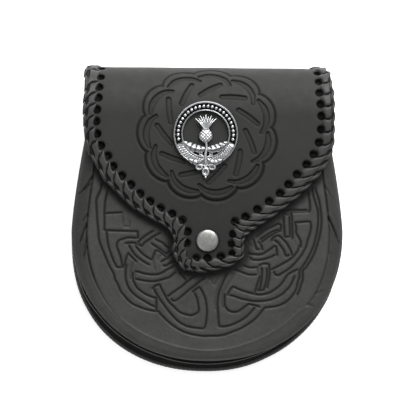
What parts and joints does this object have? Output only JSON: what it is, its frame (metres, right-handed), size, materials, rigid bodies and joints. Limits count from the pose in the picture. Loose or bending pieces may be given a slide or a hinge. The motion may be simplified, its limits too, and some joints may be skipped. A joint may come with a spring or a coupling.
{
  "type": "day sporran pouch",
  "caption": "Black leather day sporran: a moulded pouch with a laced fold-over flap, a snap and a cast badge, lying on its back.",
  "frame": {"origin": "on the floor under the middle of the pouch, which lies on its back", "axes": "+X to the right across the front, +Y up the front towards the fold, +Z out of the front"},
  "size_m": [0.181, 0.206, 0.0482],
  "materials": {
    "leather_black": "satin, fine grain, tooled",
    "leather_edge": "burnished edge",
    "lace_black": "satin, polished on the turns",
    "pewter": "cast, dark in the recesses and bright on the high places",
    "snap_steel": "brushed, darkened"
  },
  "bodies": {
    "root": {"back_and_flap": "leather_black", "front_panel": "leather_black", "edge_welt": "leather_edge", "flap_lacing": "lace_black", "body_lacing": "lace_black", "badge": "pewter", "snap_cap": "snap_steel", "snap_stud": "snap_steel", "belt_loop_left": "leather_black", "belt_loop_right": "leather_black"}
  },
  "joints": []
}
